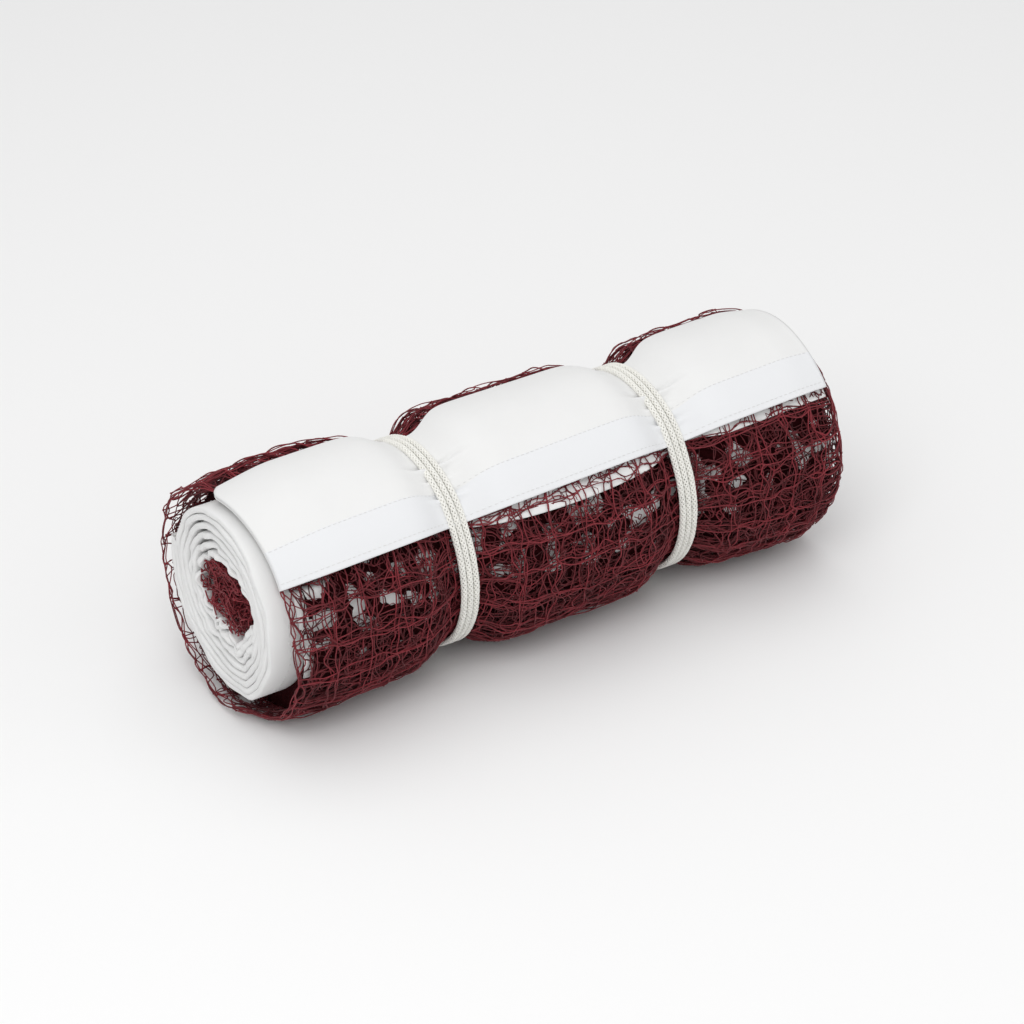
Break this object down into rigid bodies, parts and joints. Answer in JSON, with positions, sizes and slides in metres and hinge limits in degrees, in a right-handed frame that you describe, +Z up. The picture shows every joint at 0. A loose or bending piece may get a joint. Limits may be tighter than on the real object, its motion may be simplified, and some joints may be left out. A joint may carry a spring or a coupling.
{
  "type": "rolled sports net",
  "caption": "Small-mesh sports net with white tape edges, rolled up lengthwise and tied round with two wrapped cords.",
  "frame": {"origin": "centre of the roll's box on the plane it rests on", "axes": "+X along the roll away from the spiral end, +Z up, -Y towards the side that shows the tape's lower edge"},
  "size_m": [0.36, 0.136, 0.1365],
  "materials": {
    "netting": "matte knotted twine, dark maroon",
    "tape": "matte woven tape, white",
    "seam_thread": "sewing thread, white",
    "headline": "twisted line, off-white",
    "tie_cord": "braided cord, warm white, slight sheen"
  },
  "bodies": {
    "root": {"netting_core": "netting", "netting_inner_wraps": "netting", "netting_middle_wraps": "netting", "netting_outer_wrap": "netting", "bottom_selvage_line": "netting", "headband_tape": "tape", "headline_cord": "headline", "headband_seam": "seam_thread", "inner_side_tape": "tape", "side_tape": "tape", "side_tape_edge_seam": "seam_thread", "side_tape_hem_seam": "seam_thread", "tie_cord_left": "tie_cord", "tie_cord_right": "tie_cord", "tie_knot_left": "tie_cord", "tie_knot_right": "tie_cord"}
  },
  "joints": []
}
